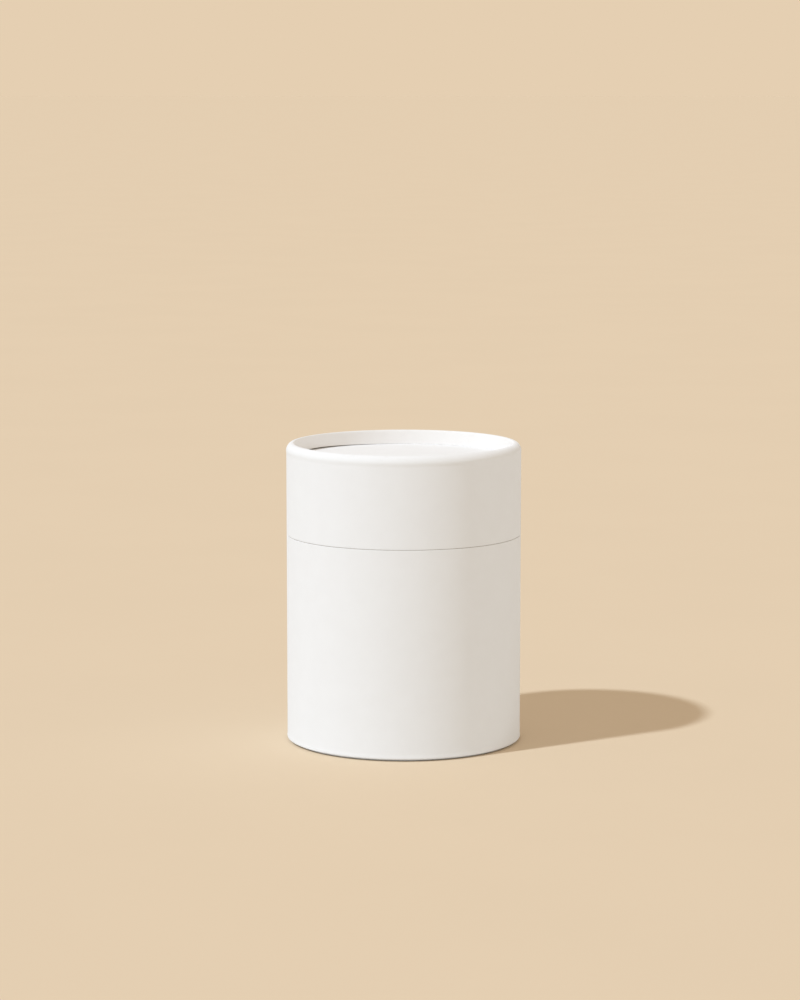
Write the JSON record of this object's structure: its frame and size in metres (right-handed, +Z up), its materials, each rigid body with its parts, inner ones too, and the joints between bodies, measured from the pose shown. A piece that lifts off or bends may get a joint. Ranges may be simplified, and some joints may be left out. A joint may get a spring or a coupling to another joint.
{
  "type": "cylindrical gift tube box",
  "caption": "White paper tube box with rolled rims, a recessed disc at each end, a standing inner neck and a flush lift-off lid.",
  "frame": {"origin": "centre of the foot, on the surface the box stands on", "axes": "+Z up along the tube's axis, from the foot to the lid; the laps of the wraps are towards +Y, at the back"},
  "size_m": [0.0802, 0.0802, 0.1023],
  "materials": {
    "white_wrap": "matte white art paper",
    "white_lining": "matte white lining paper",
    "disc_paper": "matte white facing paper",
    "neck_paper": "smooth matte white paper",
    "outer_board": "spiral-wound white-back board, cut edge",
    "neck_board": "spiral-wound board, cut edge",
    "disc_board": "grey board, punched edge",
    "dried_glue": "dried white glue"
  },
  "bodies": {
    "base": {"base_tube": "outer_board", "base_wrap": "white_wrap", "base_lining": "white_lining", "base_disc": "disc_board", "base_disc_facing": "disc_paper", "base_floor_paper": "disc_paper", "neck_tube": "neck_board", "neck_wrap": "neck_paper", "neck_lining": "white_lining", "neck_glue": "dried_glue"},
    "lid": {"lid_tube": "outer_board", "lid_wrap": "white_wrap", "lid_lining": "white_lining", "lid_disc": "disc_board", "lid_disc_facing": "disc_paper", "lid_ceiling_paper": "disc_paper", "lid_disc_glue": "dried_glue"}
  },
  "joints": [
    {"name": "lid_lift", "type": "slide", "parent": "base", "child": "lid", "axis": [0, 0, 1], "range_m": [0, 0.08]}
  ]
}
